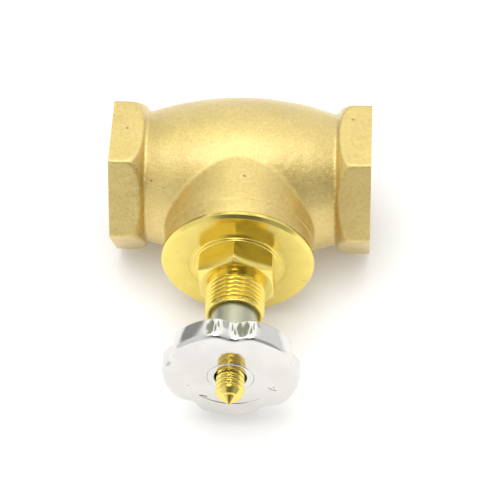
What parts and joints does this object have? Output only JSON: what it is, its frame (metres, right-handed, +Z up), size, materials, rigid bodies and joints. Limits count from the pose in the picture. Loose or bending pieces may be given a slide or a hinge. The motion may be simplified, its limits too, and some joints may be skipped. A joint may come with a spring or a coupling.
{
  "type": "lockshield valve",
  "caption": "Brass globe-pattern heating valve with threaded female ends, screwed bonnet, rising spindle and lobed handwheel.",
  "frame": {"origin": "on the pipe axis where the inlet port's thread starts, 1.5 mm inside its mouth", "axes": "+X along the pipe axis from inlet to outlet, -Y along the bonnet and spindle axis towards the handwheel, +Z up as the valve lies on its side"},
  "size_m": [0.0935, 0.1304, 0.059],
  "materials": {
    "cast_brass": "shot-blasted matte",
    "turned_brass": "bright turned",
    "plated_steel": "satin nickel",
    "chrome": "polished",
    "gasket_fibre": "pressed fibre",
    "seal_plastic": "smooth matte",
    "seal_rubber": "matte",
    "spring_steel": "drawn wire"
  },
  "bodies": {
    "valve": {"valve_body": "cast_brass", "seat_web": "cast_brass", "bonnet_gasket": "gasket_fibre", "bonnet": "turned_brass", "gland_housing": "turned_brass", "housing_o_ring": "seal_rubber", "packing_base_washer": "turned_brass", "packing_ring_1": "seal_plastic", "packing_ring_2": "seal_plastic", "packing_ring_3": "seal_plastic", "gland_follower": "turned_brass", "lower_thrust_washer": "seal_plastic", "upper_thrust_washer": "seal_plastic"},
    "wheel": {"drive_sleeve": "plated_steel", "sleeve_o_ring": "seal_rubber", "handwheel": "chrome"},
    "stem": {"spindle": "turned_brass"},
    "disc": {"disc_clip": "spring_steel", "disc_holder": "turned_brass", "disc_washer": "seal_rubber", "washer_plate": "turned_brass", "washer_nut": "turned_brass"}
  },
  "joints": [
    {"name": "handwheel_turn", "type": "hinge", "parent": "valve", "child": "wheel", "pos_m": [0.04525, -0.08, 0], "axis": [0, -1, 0], "range_deg": [-1440.5, 0]},
    {"name": "spindle_rise", "type": "slide", "parent": "valve", "child": "stem", "axis": [0, -1, 0], "range_m": [-0.008, 0]},
    {"name": "disc_swivel", "type": "hinge", "parent": "stem", "child": "disc", "pos_m": [0.04525, -0.018, 0], "axis": [0, -1, 0], "continuous": true}
  ],
  "couplings": [
    {"joint": "handwheel_turn", "follows": "spindle_rise", "rad_per_m": 3141.6}
  ]
}
